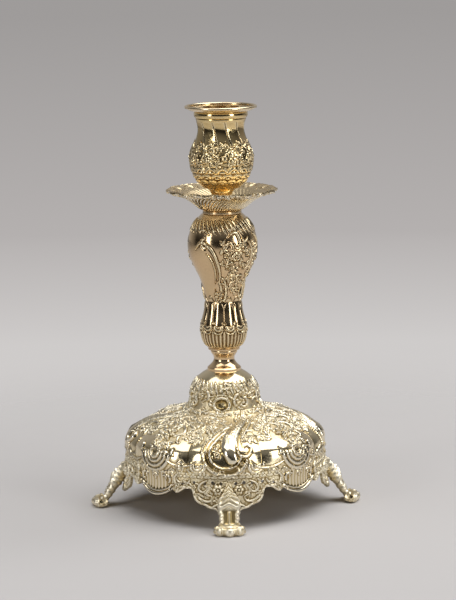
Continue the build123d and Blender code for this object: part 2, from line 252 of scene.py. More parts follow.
def leaf(skin, points, width, height, lobes):
    """A leaf with a lobed edge, a cut middle vein and slanting side veins."""
    path = path_of(skin, points)
    t = np.linspace(0, 1, len(path))
    swell = np.clip(np.sin(math.pi * np.clip(t, 0.03, 1) ** 0.8), 0.06, 1) ** 0.7
    reached = 1.3
    rows, q, step = skin.near(path, reached * width * swell)
    where = t[step]
    q = q * reached / (0.8 + 0.2 * np.abs(np.sin(math.pi * lobes * where)))
    veins = 0.82 + 0.18 * np.cos(2 * math.pi * (lobes * where - 0.9 * q))
    tall = height * (rounded(q) * veins - 0.5 * ripple(q, 0, 0.16))
    skin.stamp(rows, tall, ease((1.05 - q) / 0.25))
    skin.carve(rows, 0.25 * height * ripple(q, 1.15, 0.16))


def spray(skin, turn, along, angle, count, length, width, height, fan=120):
    """Leaves that spread from one place."""
    for i in range(count):
        share = i / (count - 1) - 0.5
        way = math.radians(angle + fan * share)
        size = length * (1 - 0.7 * abs(share))
        bow = 0.25 * share * size
        t = np.linspace(0.12, 1, 4)
        x = math.cos(way) * t * size - math.sin(way) * bow * t ** 2
        y = math.sin(way) * t * size + math.cos(way) * bow * t ** 2
        leaf(skin, skin.place(turn, along, x, y), width, height, lobes=3)


def rose(skin, turn, along, radius, height, petals=5, spin=0.0):
    """A flower of round petals about a bead."""
    rows, x, y = skin.around(turn, along, 1.3 * radius)
    far, way = np.hypot(x, y) / radius, np.degrees(np.arctan2(y, x)) + spin
    lobe = np.abs(np.cos(np.radians(way * petals / 2)))
    q = far / (0.72 + 0.28 * lobe ** 0.7)
    ring = ripple(q, 0.68, 0.27) * (0.55 + 0.45 * lobe)
    bead = 0.27
    tall = np.where(far < bead, 0.2 + 0.95 * rounded(far / bead), 0.25 * rounded(q, 1) + 0.75 * ring)
    tall = height * (tall - 0.3 * ripple(far, 0.33, 0.07))
    skin.stamp(rows, tall, ease((1.12 - q) / 0.2))
    skin.carve(rows, 0.3 * height * ripple(q, 1.2, 0.14))


def boss(skin, turn, along, half_width, half_height, height, rim):
    """An oval knob inside a raised ring, or an oval dip when its height is less than 0."""
    rows, x, y = skin.around(turn, along, 1.6 * max(half_width, half_height))
    q = np.hypot(x / half_width, y / half_height)
    tall = height * rounded(q / 0.8, 0.6) + rim * rounded((q - 1) / 0.2, 0.6)
    skin.stamp(rows, tall, ease((1.25 - q) / 0.1))
    skin.carve(rows, 0.18 * ripple(q, 1.3, 0.08))


def shell(skin, turn, along, radius, angle, height, arcs, open_to):
    """A shell: rings about one place, over a fan that opens one way."""
    rows, x, y = skin.around(turn, along, 1.1 * radius)
    far = np.hypot(x, y) / radius
    way = (np.degrees(np.arctan2(y, x)) - angle + 180) % 360 - 180
    inside = ease((open_to - np.abs(way)) / 18) * ease((1.02 - far) / 0.05)
    wave = np.abs(np.sin(math.pi * arcs * far ** 0.9)) ** 0.8
    skin.stamp(rows, height * (0.35 + 0.65 * wave) * (1 - 0.35 * far), inside)


def beads(skin, points, radius, height):
    """A row of small round knobs that all but touch."""
    path = path_of(skin, points, 0.15)
    reach = np.interp(path[:, 1], skin.along, skin.reach)
    run = np.hypot(np.radians(np.gradient(path[:, 0])) * reach, np.gradient(path[:, 1]))
    far = np.cumsum(run)
    for place in np.arange(0, far[-1], 2.1 * radius):
        turn, along = path[np.searchsorted(far, place)]
        rows, x, y = skin.around(turn, along, 1.2 * radius)
        q = np.hypot(x, y) / radius
        skin.stamp(rows, height * rounded(q), ease((1.1 - q) / 0.2))


def flutes(skin, low, high, count, depth, slant=0.0, hollow=True):
    """Even flutes or gadroons round a band, straight or slanting."""
    inside = ease((skin.along - low) / 1.5) * ease((high - skin.along) / 1.5)
    lean = slant * (skin.along - low)
    phase = (skin.turn[None, :] + lean[:, None]) / 360 * count * math.pi
    wave = np.abs(np.sin(phase))
    wave = 1 - wave if hollow else wave
    skin.chase += depth * (wave ** 1.2 - 0.3) * inside[:, None] * (1 - skin.cover)


def foliage(skin, mask, gap, size, seed, height):
    """Small leaves and scrolls that fill the ground where a mask says."""
    random = np.random.default_rng(seed)
    rows, columns = mask.shape
    for middle in np.arange(gap / 2, skin.along[-1], gap):
        count = int(math.radians(skin.span) * np.interp(middle, skin.along, skin.reach) / gap)
        for i in range(count):
            share, down = (i + random.uniform(0.2, 0.8)) / count, middle + random.uniform(-0.3, 0.3) * gap
            angle, pick, flip = random.uniform(0, 360), random.random(), random.choice([-1, 1])
            row = min(np.searchsorted(skin.along, down), rows - 1)
            if mask[row, int(share * columns)] < 0.5:
                continue
            turn = skin.start + skin.span * share
            if pick < 0.4:
                curl(skin, turn, down, 1.9 * size, angle, 150, 0.12 * size, height, flip, trench=0.2)
            elif pick < 0.93:
                spray(skin, turn, down, angle, 3, size, 0.2 * size, height)
            else:
                rose(skin, turn, down, 0.36 * size, 1.2 * height, spin=angle)


# Meshes

def mesh_of(name, points, faces, fields=None, smooth_angle=40):
    """A mesh in metres from points in millimetres and faces of four corners.

    Each field is one number for each point, for the material to read.
    """
    mesh = bpy.data.meshes.new(name)
    faces = np.asarray(faces, np.int32)
    mesh.vertices.add(len(points))
    mesh.vertices.foreach_set("co", (np.asarray(points, np.float64) * mm).ravel())
    mesh.loops.add(faces.size)
    mesh.loops.foreach_set("vertex_index", faces.ravel())
    mesh.polygons.add(len(faces))
    mesh.polygons.foreach_set("loop_start", np.arange(len(faces), dtype=np.int32) * 4)
    mesh.polygons.foreach_set("use_smooth", np.ones(len(faces), bool))
    mesh.update(calc_edges=True)
    mesh.validate()
    for key, values in (fields or {}).items():
        field = mesh.attributes.new(key, "FLOAT", "POINT")
        field.data.foreach_set("value", np.asarray(values, np.float32))
    mesh.set_sharp_from_angle(angle=math.radians(smooth_angle))
    return mesh


def grid_faces(rows, columns, closed):
    """Faces of a grid of points that is joined end to end or open."""
    i = np.arange(rows - 1)[:, None] * columns
    j = np.arange(columns if closed else columns - 1)[None, :]
    k = (j + 1) % columns
    return np.stack([i + j, i + columns + j, i + columns + k, i + k], -1).reshape(-1, 4)


def show(name, mesh, body, node, material, angle=0.0):
    """One piece of the object, which rides on its body in place of its node."""
    piece = bpy.data.objects.new(name, mesh)
    bpy.context.scene.collection.objects.link(piece)
    if not mesh.materials:
        mesh.materials.append(material)
    piece.rotation_euler = (0, 0, math.radians(angle))
    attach(piece, body)
    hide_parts(node)


def ring_points(reach, level, turn):
    """Points from arrays of radius, height and turn."""
    way = np.radians(turn)
    return np.stack([reach * np.sin(way), -reach * np.cos(way), level + 0 * way], -1)


def worked(skin, height):
    """What the materials read: hollows, ridges and where the metal is left matt."""
    deep = blurred(height, 0.9, skin.spacing) - height
    fine = blurred(height, 0.35, skin.spacing) - height
    hollow = np.clip(deep / 0.28 + fine / 0.12, -1, 1)
    dull = np.clip(blurred(skin.rough * (1 - 0.6 * skin.cover), 0.6, skin.spacing), 0, 1)
    return {"hollow": hollow, "dull": dull}


def wall_faces(faces):
    """Pairs of corners along the open edges of some faces, in the order that faces them outwards."""
    edges = np.concatenate([faces[:, [i, (i + 1) % 4]] for i in range(4)])
    keys = np.sort(edges, axis=1)
    order = np.lexsort((keys[:, 1], keys[:, 0]))
    keys, edges = keys[order], edges[order]
    same = (keys[1:] == keys[:-1]).all(axis=1)
    shared = np.zeros(len(keys), bool)
    shared[1:] |= same
    shared[:-1] |= same
    return edges[~shared]


def skin_mesh(name, skin, copies=1, wall=0.9, closed=True, inside=None, inner_share=0.8):
    """The mesh of a skin, one or more times round: two faces a wall apart, cut by an edge."""
    height = skin.height()
    fields = worked(skin, height)
    under = inner_share * blurred(height, 0.5, skin.spacing) - wall
    turn = np.broadcast_to(skin.turn, height.shape).copy()
    shift = np.zeros(height.shape)
    kept = np.ones(height.shape, bool)
    if inside is not None:
        reach = skin.reach[:, None]
        step = math.radians(skin.span / len(skin.turn))
        down = np.gradient(inside, skin.spacing, axis=0)
        across = (np.roll(inside, -1, 1) - np.roll(inside, 1, 1)) / (2 * step * reach)
        least_slope, snap = 0.3, 0.62
        size = np.maximum(np.hypot(down, across), least_slope)
        near = np.abs(inside) < snap * skin.spacing
        push = np.where(near, -inside / size ** 2, 0)
        turn += np.degrees(push * across / reach)
        shift = push * down
        kept = (inside > 0) | near
    sides = []
    for rise in (height, under):
        out, up = skin.raised(skin.along[:, None] + shift, rise)
        rounds = [ring_points(out, up, turn + i * skin.span) for i in range(copies)]
        if not closed:
            rounds.append(ring_points(out, up, turn + copies * skin.span)[:, :1])
        sides.append(np.concatenate(rounds, axis=1))
    rows, columns = sides[0].shape[:2]

    def repeat(values):
        parts = [values] * copies + ([] if closed else [values[:, :1]])
        return np.concatenate(parts, axis=1).ravel()

    faces = grid_faces(rows, columns, closed)
    faces = faces[repeat(kept)[faces].all(axis=1)]
    edges = wall_faces(faces)
    count = rows * columns
    walls = np.stack([edges[:, 1], edges[:, 0], edges[:, 0] + count, edges[:, 1] + count], -1)
    faces = np.concatenate([faces, faces[:, ::-1] + count, walls])
    points = np.concatenate([side.reshape(-1, 3) for side in sides])
    used, faces = np.unique(faces, return_inverse=True)
    faces = faces.reshape(-1, 4)
    values = {}
    # The inner faces take some of the darker hollow colour: partly tarnish, partly painted shade.
    inner_hollow, inner_dull = 0.35, 0.7
    for key, filler in [("hollow", inner_hollow), ("dull", inner_dull)]:
        values[key] = np.concatenate([repeat(fields[key]), np.full(count, filler)])[used]
    return mesh_of(name, points[used], faces, values)


def bell_mesh(name, skin, copies):
    """The mesh of a closed turned skin, its two ends drawn in to the axis."""
    height = np.tile(skin.height(), (1, copies))
    fields = {k: np.tile(v, (1, copies)) for k, v in worked(skin, skin.height()).items()}
    turn = skin.start + skin.span * copies * np.arange(height.shape[1]) / height.shape[1]
    reach, level = skin.raised(skin.along[:, None] + 0 * height, height)
    draw = np.array([0.02, 0.55])[:, None]
    reach = np.concatenate([draw * reach[:1], reach, draw[::-1] * reach[-1:]])
    level = np.concatenate([level[[0, 0]], level, level[[-1, -1]]])
    values = {k: np.concatenate([v[[0, 0]], v, v[[-1, -1]]]).ravel() for k, v in fields.items()}
    points = ring_points(reach, level, turn[None, :] + 0 * reach)
    faces = grid_faces(*reach.shape, True)
    return mesh_of(name, points.reshape(-1, 3), faces, values)


def turned_mesh(name, line, count):
    """The mesh of a closed outline turned about the axis, with its corners as given."""
    line = np.array(line, float)
    turn = np.arange(count)[None, :] * 360 / count
    points = ring_points(line[:, :1] + 0 * turn, line[:, 1:] + 0 * turn, turn + 0 * line[:, :1])
    faces = grid_faces(len(line) + 1, count, True) % (len(line) * count)
    return mesh_of(name, points.reshape(-1, 3), faces, smooth_angle=50)


# Metal

# The colours for the hollows are partly tarnish and partly painted shade, darkening the gilding where the
# relief sinks.
pale_gilt, warm_gilt, deep_patina_and_shade = (0.87, 0.75, 0.49), (0.74, 0.52, 0.20), (0.16, 0.09, 0.03)
silver_worn, copper_blush = (0.92, 0.85, 0.68), (0.76, 0.50, 0.30)
hollow_patina_and_shade = (0.36, 0.26, 0.10)
stem_gilt, cup_gilt = (0.77, 0.58, 0.33), (0.83, 0.64, 0.31)
pan_gilt, cast_gilt = (0.87, 0.72, 0.47), (0.88, 0.78, 0.54)
bright_iron, grey_iron, dark_iron = (0.32, 0.31, 0.30), (0.22, 0.21, 0.2), (0.05, 0.04, 0.035)


def ranged(tree, value, low_in, high_in, low_out=0.0, high_out=1.0):
    """A value taken from one range to another, and held at its ends."""
    node = tree.nodes.new("ShaderNodeMapRange")
    tree.links.new(value, node.inputs["Value"])
    ends = {"From Min": low_in, "From Max": high_in, "To Min": low_out, "To Max": high_out}
    for key, number in ends.items():
        node.inputs[key].default_value = number
    return node.outputs["Result"]


def mixed(tree, share, first, second):
    """The first colour where the share is 0, and the second where it is 1."""
    node = tree.nodes.new("ShaderNodeMix")
    node.data_type = "RGBA"
    tree.links.new(share, node.inputs["Factor"])
    for socket, colour in zip((node.inputs[6], node.inputs[7]), (first, second)):
        if isinstance(colour, tuple):
            socket.default_value = (*colour, 1)
        else:
            tree.links.new(colour, socket)
    return node.outputs[2]


def joined(tree, first, second, way):
    """Two values added, multiplied or compared."""
    node = tree.nodes.new("ShaderNodeMath")
    node.operation = way
    tree.links.new(first, node.inputs[0])
    tree.links.new(second, node.inputs[1])
    return node.outputs[0]


def metal(name, high, middle, low, smooth, rough, blush):
    """Worn gilding: paler on what stands proud, darker in the hollows with tarnish and painted shade, duller
    where it is matted.
    """
    material = bpy.data.materials.new(name)
    material.use_nodes = True
    tree = material.node_tree
    nodes, links = tree.nodes, tree.links
    shader = nodes["Principled BSDF"]
    shader.inputs["Metallic"].default_value = 1.0

    def noise(scale, detail):
        place = nodes.new("ShaderNodeTexCoord")
        node = nodes.new("ShaderNodeTexNoise")
        node.inputs["Scale"].default_value = scale
        node.inputs["Detail"].default_value = detail
        links.new(place.outputs["Object"], node.inputs["Vector"])
        return node.outputs["Fac"]

    def field(key):
        node = nodes.new("ShaderNodeAttribute")
        node.attribute_name = key
        return node.outputs["Fac"]

    hollow, dull = field("hollow"), field("dull")
    patches, smears, grit, pits = noise(38.0, 4.0), noise(420.0, 2.0), noise(2600.0, 3.0), noise(700.0, 2.0)
    colour = mixed(tree, ranged(tree, patches, 0.38, 0.68, 0.0, blush), middle, copper_blush)
    colour = mixed(tree, ranged(tree, hollow, 0.05, -0.7, 0.0, 0.9), colour, high)
    # Hollows take the low colour: partly tarnish, partly painted shade.
    colour = mixed(tree, ranged(tree, hollow, 0.12, 0.85, 0.0, 0.92), colour, low)
    links.new(colour, shader.inputs["Base Color"])
    polish = ranged(tree, dull, 0.0, 1.0, smooth, rough)
    wear = ranged(tree, smears, 0.3, 0.7, -0.03, 0.05)
    links.new(joined(tree, polish, wear, "ADD"), shader.inputs["Roughness"])
    bump = nodes.new("ShaderNodeBump")
    bump.inputs["Strength"].default_value = 0.03
    bump.inputs["Distance"].default_value = 0.4 * mm
    links.new(joined(tree, grit, joined(tree, pits, dull, "MULTIPLY"), "ADD"), bump.inputs["Height"])
    links.new(bump.outputs["Normal"], shader.inputs["Normal"])
    return material


gilt_base = metal("gilt_base", silver_worn, pale_gilt, hollow_patina_and_shade, 0.13, 0.46, 0.2)
gilt_stem = metal("gilt_stem", pale_gilt, stem_gilt, deep_patina_and_shade, 0.13, 0.36, 0.45)
gilt_cup = metal("gilt_cup", pale_gilt, cup_gilt, deep_patina_and_shade, 0.09, 0.36, 0.3)
gilt_pan = metal("gilt_pan", silver_worn, pan_gilt, hollow_patina_and_shade, 0.2, 0.4, 0.25)
gilt_cast = metal("gilt_cast", silver_worn, cast_gilt, hollow_patina_and_shade, 0.3, 0.48, 0.1)
gilt_inside = metal("gilt_inside", pale_gilt, warm_gilt, deep_patina_and_shade, 0.3, 0.45, 0.3)
iron = metal("iron", bright_iron, grey_iron, dark_iron, 0.35, 0.5, 0.3)


# Dome and shoulders

pattern = 90.0
dome_outline = [(10.5, 85.5), (15.3, 82.4), (18.6, 78.8), (20.9, 74.2), (21.6, 68.5), (22.9, 63.7)]
shoulder_outline = [
    (22.9, 63.7), (27.5, 60.4), (36.0, 58.3), (46.0, 55.2), (54.0, 50.7), (59.5, 45.8), (61.5, 38.5),
    (61.3, 31.9), (59.3, 30.05)
]
first_crease, second_crease = -24.0, 20.0
to_shoulder = 26.6
shell_turn = 44
sides = ["front", "right", "back", "left"]


def matted(skin, inside, seed, size=0.34, depth=0.022):
    """Ground worked over with small even bumps, where a mask says."""
    skin.matt = skin.matt + depth * grain(skin.form.shape, size, skin.spacing, seed) * inside
    skin.rough = np.maximum(skin.rough, inside)


def places(points):
    """Places written from the top of the dome, moved to start at the shoulder."""
    return [(turn, along - to_shoulder) for turn, along in points]


def lobed(skin, depth, swell):
    """Bow the sheet into broad lobes that meet in creases, deepest at the shoulder's edge."""
    turn = (skin.turn - first_crease) % pattern
    front = second_crease - first_crease
    half = np.where(turn < front, front, pattern - front) / 2
    middle = np.where(turn < front, front / 2, (front + pattern) / 2)
    across = np.abs(turn - middle) / half
    share = ease((skin.along - 6) / 30) * ease((skin.along[-1] - skin.along) / 5)
    skin.form = -depth * share[:, None] * across[None, :] ** 2.1
    skin.form = skin.form + swell * ripple(skin.along, 43, 9)[:, None] * (1 - across[None, :] ** 2)


dome_curls = [
    (14.5, 19.5, -80, 1, 14), (-28, 17.5, 80, 1, 11), (37, 21, -100, -1, 10), (-22, 23.4, 10, -1, 8),
    (2.5, 25, 10, 1, 7), (29, 24.4, 20, -1, 7)
]
dome_roses = [(45.5, 18.3, 2.1), (-38.5, 13.6, 1.8), (5.4, 15.4, 1.5), (27, 16.4, 1.5)]


def chase_dome(skin):
    """Flames round the top, then scrolls, flowers and a dark oval cartouche on each side."""
    lower = np.broadcast_to(ease((skin.along - 9.5) / 1.5)[:, None], skin.form.shape)
    matted(skin, lower, 3)
    foliage(skin, lower, 4.8, 4.6, 31, 0.7)
    for i in range(10):
        turn = -44 + 9 * i
        leaf(skin, [(turn - 4, 8.2), (turn - 1, 11), (turn + 1.5, 14), (turn + 5, 17.5)], 0.85, 0.7, lobes=1)
    for turn, along, angle, flip, size in dome_curls:
        curl(skin, turn, along, size, angle, 150, 0.95, 1.3, flip, trench=0.3)
    boss(skin, -6.5, 22.8, 4.9, 4.1, -1.9, 0.8)
    beads(skin, [(-19, 21.5), (-15, 18.0), (-6.5, 17.0), (2, 18.2), (4.6, 21)], 0.6, 0.6)
    for turn, along, radius in dome_roses:
        rose(skin, turn, along, radius, 1.0)
    skin.fade(ease((skin.along[-1] + 0.2 - skin.along) / 0.8) * ease(skin.along / 2))


cartouche_left = [
    (26, 25.5), (20, 32), (9, 42), (1.5, 49.5), (-5, 56), (-9, 62.5), (-10.6, 69), (-8.6, 74.5),
    (-1, 77.6), (5, 75.4), (7.6, 71)
]
cartouche_right = [(28, 27), (24.5, 33.5), (14, 44), (8.2, 52), (5.6, 60), (5.8, 67), (7.6, 72)]
outer_right = [(31, 30.5), (27, 37), (17.5, 47), (12, 54), (9, 60), (8.8, 65)]
outer_rim = [(-14.6, 69), (-13.6, 74), (-9, 79.6), (-1, 82.2), (7, 79.6), (11, 74.5), (10.4, 69)]
crescent = [(-12.6, 69), (-11.3, 73.8), (-6.8, 78), (-0.8, 80), (5.5, 77.6), (9, 72.8)]
left_edge = [(-4, 47), (-9.5, 53), (-13.5, 59.5), (-15.2, 65), (-15.0, 70), (-13.6, 73.5)]
left_inner = [(-2, 48.5), (-7.5, 54.5), (-11.2, 60.5), (-12.8, 66), (-12.8, 70)]
ribbon = [(27.5, 26.9), (22.6, 32.5), (12.4, 42.5), (5.4, 50.5), (1.6, 58), (1.0, 66), (2.4, 72)]
right_scroll = [(5.4, 66), (6.6, 69.6), (9.6, 70.8), (13.2, 68.6), (13.8, 65), (11.6, 63.4), (10, 65)]
under_right = [(13.4, 73.4), (16, 76.6), (22, 78.6), (29, 77.6), (35, 74.6)]
under_left = [(-18, 73.6), (-22, 76.2), (-28, 77.2), (-34, 76.2), (-39, 73)]


shoulder_sprays = [
    (-8, 36, 100, 8), (-18, 46, 60, 9), (38, 36, 70, 8), (50, 42, 110, 9), (61, 34, 60, 8),
    (24, 54, 40, 8), (33, 48, 140, 8), (60, 52, 60, 8), (-20, 57, 150, 7), (14, 55, 80, 7)
]
shoulder_curls = [
    (-14, 33, 12, 20, 150, 1), (42, 34.5, 13, 160, 140, -1), (56, 50, 12, 60, 150, 1),
    (30, 51, 13, 120, 150, -1), (-20, 44, 11, 80, 140, 1), (62, 40, 11, 30, 130, -1)
]
shoulder_roses = [
    (-6.4, 69.4, 2.3, 1.3), (-6.9, 64.4, 2.0, 1.2), (20.2, 34.8, 2.4, 1.1), (10.6, 58.5, 1.7, 0.9),
    (43.6, 56.0, 3.3, 2.3), (53, 44, 1.9, 0.8), (-30, 55, 1.8, 0.8), (34, 42, 1.9, 0.8)
]


def chase_shoulder(skin):
    """Comma-shaped cartouches over the feet, shells between them, flowers and leaves above."""
    lobed(skin, 1.5, 0.9)
    along = skin.along[:, None] + to_shoulder
    turn = (skin.turn[None, :] - first_crease) % pattern + first_crease
    above = ease((61.5 + 1.5 * np.sin(np.radians(16 * turn)) - along) / 2.5)
    below = ease((along - 75.5) / 1.5)
    corner = ease((7.5 - np.abs(turn - shell_turn)) / 3) * ease((along - 56) / 3)
    ground = np.clip(above + below + corner, 0, 1)
    matted(skin, ground, 5)
    x, y = skin.offset(-2.2, 66.5 - to_shoulder)
    skin.form = skin.form - rounded(np.hypot(x / 8.2, y / 11), 0.7)
    foliage(skin, ground, 6.4, 6.4, 51, 0.75)
    for i in range(8):
        turn = first_crease + pattern / 8 * (i + 0.5)
        curl(skin, turn, 2.6, 6.5, 10, 170, 0.8, 0.9, flip=-1 if i % 2 else 1, trench=0.25)
    spray(skin, shell_turn, 56 - to_shoulder, 90, 9, 8.5, 1.5, 1.9, fan=320)
    for turn, down, angle, size in shoulder_sprays:
        spray(skin, turn, down - to_shoulder, angle, 5, size, 1.5, 0.9, fan=150)
    for turn, down, length, angle, bend, flip in shoulder_curls:
        curl(skin, turn, down - to_shoulder, 1.4 * length, angle, bend, 0.95, 1.0, flip, trench=0.25)
    drop(skin, places(ribbon), [1.2, 1.8, 2.4, 2.9, 3.4, 4.4, 5.2, 4.9, 3.4], 2.3)
    stroke(skin, places(cartouche_left), 0.95, 1.25, trench=0.25, taper=(0.5, 0.5))
    stroke(skin, places(cartouche_right), 0.9, 1.2, trench=0.25, taper=(0.4, 0.6))
    stroke(skin, places(outer_right), 0.7, 0.9, trench=0.2)
    stroke(skin, places(left_inner), 0.8, 0.9, trench=0.2)
    groove(skin, places(crescent), 1.5, 1.3)
    stroke(skin, places(outer_rim), 0.75, 1.1, trench=0.15)
    beads(skin, places(left_edge), 0.72, 0.95)
    stroke(skin, places(right_scroll), 0.95, 1.5, trench=0.3, taper=(0.8, 0.4))
    for turn, down, radius, tall in shoulder_roses:
        rose(skin, turn, down - to_shoulder, radius, tall, spin=20 * turn)
    for turn, down, radius in [(-17.5, 76.3, 5.6), (16.2, 76.6, 5.8)]:
        shell(skin, turn, down - to_shoulder, radius, 90, 0.75, arcs=3, open_to=115)
    spray(skin, shell_turn, 69.6 - to_shoulder, -90, 7, 8.5, 1.15, 0.95, fan=190)
    shell(skin, shell_turn, 70.4 - to_shoulder, 12.4, 90, 1.3, arcs=5, open_to=98)
    boss(skin, shell_turn, 70.2 - to_shoulder, 2.6, 1.7, -0.9, 0.5)
    stroke(skin, places(under_right), 0.8, 1.0, trench=0.2)
    stroke(skin, places(under_left), 0.8, 1.0, trench=0.2)
    for turn, angle, flip in [(32.4, 95, 1), (55.8, 85, -1)]:
        curl(skin, turn, 69.5 - to_shoulder, 9, angle, 150, 0.8, 1.1, flip, trench=0.25)
    boss(skin, 26.5, 81.0 - to_shoulder, 3.1, 2.5, 0.5, 0.5)
    boss(skin, 61.5, 78.0 - to_shoulder, 2.2, 3.6, 0.5, 0.5)
    for turn in (4.5, -5, 20.5, 33, 54.5, -17):
        spray(skin, turn, 83.5 - to_shoulder, -90, 3, 3.2, 0.8, 0.6, fan=110)
    skin.fade(ease((skin.along + 0.2) / 0.8) * ease((skin.along[-1] - skin.along) / 0.8))


dome = Skin(dome_outline, 0.29, -pattern / 2, pattern)
chase_dome(dome)
show("base_dome", skin_mesh("base_dome", dome, 4), "stand", "base_shell", gilt_base)
shoulder = Skin(shoulder_outline, 0.36, first_crease, pattern)
chase_shoulder(shoulder)
shoulder_mesh = skin_mesh("base_shoulder", shoulder, 1, closed=False)
for i, side in enumerate(sides):
    show(f"base_shoulder_{side}", shoulder_mesh, "stand", "base_shell", gilt_base, angle=90 * i)


# Lips: four fluted skirts with a rolled edge, between the feet

lip_half_turn, lip_reach = 13.4, 61.0
lip_low, lip_rise = 17.3, 5.6
lip_skin = Skin([(60.9, 36.4), (61.9, 33.4), (61.6, 27.0), (62.0, 20.6), (62.8, 17.2)], 0.27, -15.0, 30.0)
lip_across = np.radians(lip_skin.turn)[None, :] * lip_skin.reach[:, None]
lip_half = math.radians(lip_half_turn) * lip_reach
lip_bottom = lip_skin.level[:, None] - (lip_low + lip_rise * (lip_across / lip_half) ** 2)
lip_inside = np.minimum(lip_bottom, lip_half - np.abs(lip_across))
flutes(lip_skin, 3.0, 18.5, 150, 0.3)
lip_skin.chase *= ease((lip_bottom - 3.4) / 1.0)
lip_skin.chase += 0.9 * rounded(lip_bottom - 1.0) + 0.5 * rounded((lip_bottom - 2.9) / 0.6)
for side in (-1, 1):
    curl(lip_skin, side * 10.6, 8.4, 9, 90, 160, 0.9, 1.0, side, way="stamp")
    curl(lip_skin, side * 10.4, 13.6, 7.5, 60 + 30 * side, 150, 0.9, 1.1, -side, way="stamp")
    spray(lip_skin, side * 7.6, 5.6, 90, 3, 4, 0.8, 0.6)
spray(lip_skin, 0, 4.6, 90, 5, 5, 0.9, 0.6, fan=150)
lip_mesh = skin_mesh("lip", lip_skin, 1, closed=False, inside=lip_inside)
for i, side in enumerate(["front_right", "back_right", "back_left", "front_left"]):
    show(f"lip_{side}", lip_mesh, "stand", "base_shell", gilt_base, angle=45 + 90 * i)


# Feet: a pierced apron with roses and scrolls, over a leaf-shaped leg with a rolled toe

apron_skin = Skin([(61.5, 33.6), (62.2, 30.2), (62.7, 21.5), (64.0, 10.2)], 0.25, -36.0, 72.0)
apron_edge = [
    (32.0, 33.4), (33.4, 31.6), (32.3, 29.6), (33.6, 27.4), (32.4, 25.4), (33.4, 23.4), (31.2, 20.8),
    (29.2, 21.4), (27.2, 23.0), (24.6, 24.2), (22.3, 23.6), (21.4, 21.2), (20.6, 18.2), (18.4, 15.6),
    (16.6, 14.9), (13.8, 13.8), (11.4, 12.4), (8.8, 12.0), (6.4, 10.6), (0, 10.4)
]
apron_holes = [
    (4.4, 27.6, 0.95), (9.4, 27.9, 1.15), (14.2, 27.4, 0.8), (20.6, 27.8, 0.95), (27.6, 26.6, 0.8)
]


def edge_distance(x, y, corners):
    """Distance from places to a closed outline, positive inside."""
    corners = np.array(corners, float)
    gap, inside = np.full(x.shape, 1e9), np.zeros(x.shape, bool)
    for a, b in zip(corners, np.roll(corners, -1, axis=0)):
        edge = b - a
        share = np.clip(((x - a[0]) * edge[0] + (y - a[1]) * edge[1]) / (edge @ edge), 0, 1)
        gap = np.minimum(gap, np.hypot(x - a[0] - share * edge[0], y - a[1] - share * edge[1]))
        crosses = (a[1] > y) != (b[1] > y)
        rise = edge[1] if edge[1] else 1e-9
        inside ^= crosses & (x < (y - a[1]) * edge[0] / rise + a[0])
    return np.where(inside, gap, -gap)


def to_apron(across, level):
    """A place on the apron from millimetres across and height."""
    along = at_level(apron_skin, level)
    reach = np.interp(along, apron_skin.along, apron_skin.reach)
    return math.degrees(math.asin(across / reach)), along


def apron_places(points, side):
    return [to_apron(side * x, y) for x, y in points]


apron_lines = [
    [(22.5, 19.2), (23.4, 23.4), (27, 25), (30.4, 23), (31.2, 20.6), (29.4, 20.6)],
    [(21.5, 23), (18.4, 19.4), (14, 16.8), (10.6, 17.4), (9.8, 19.6), (11.6, 20.6)],
    [(3, 13.4), (6.4, 14.6), (9.4, 13.6), (10.4, 11.9)],
    [(13, 29.3), (17, 26.8), (17.6, 23.6), (15, 22.4), (13.4, 24)],
    [(30.2, 32.6), (32.2, 29.6), (31.6, 26.6), (30.2, 24.4)], [(23, 29.4), (24.4, 27.4), (27, 28.6)]
]
apron_sprays = [
    (19, 21.5, 100, 4.5), (12, 24.4, -40, 4), (2.6, 28, 60, 3.6), (25, 27, 30, 3.6), (15, 15.8, 20, 4),
    (30, 27, 100, 4)
]


def chase_apron(skin):
    """Roses at the middle, C scrolls over the arches, leaves and a raised rim along the edge."""
    x = skin.reach[:, None] * np.sin(np.radians(skin.turn))[None, :]
    y = np.broadcast_to(skin.level[:, None], x.shape)
    line = [tuple(p) for p in natural_spline(apron_edge, 120)[1]]
    line = line + [(-a, b) for a, b in line[-2::-1]]
    inside = edge_distance(x, y, line)
    matted(skin, np.ones(x.shape), 8, 0.3, 0.03)
    foliage(skin, ((inside > 2.0) & (y < 29)).astype(float), 4.8, 4.4, 81, 0.9)
    skin.form = skin.form + 0.5 * ripple(x, 0, 9) * ripple(y, 22, 7)
    rim = rounded((inside - 0.8) / 0.8) * ease((29 - y) / 3) * ease((32.6 - np.abs(x)) / 1.5)
    skin.chase = np.maximum(skin.chase, 1.1 * rim)
    for i in range(15):
        spray(skin, *to_apron(-29.4 + 4.2 * i, 31.0), -90, 3, 3.0, 0.9, 0.7, fan=140)
    for side in (-1, 1):
        for points in apron_lines:
            stroke(skin, apron_places(points, side), 0.85, 1.15, trench=0.25, taper=(0.6, 0.5))
        for px, py, angle, size in apron_sprays:
            spray(skin, *to_apron(side * px, py), 90 + side * (angle - 90), 3, size, 0.85, 0.8)
        rose(skin, *to_apron(side * 6.3, 23.7), 3.3 - 0.2 * side, 1.5, petals=6)
        rose(skin, *to_apron(side * 0.9 - 0.3, 27.2), 1.2, 0.7)
        rose(skin, *to_apron(side * 20.8, 25), 1.6, 0.9)
    for px, py, radius in apron_holes:
        for side in (-1, 1):
            inside = np.minimum(inside, np.hypot(x - side * px, y - py) - radius)
    return inside


apron_mesh = skin_mesh("apron", apron_skin, 1, wall=1.4, closed=False, inside=chase_apron(apron_skin),
                       inner_share=0.35)

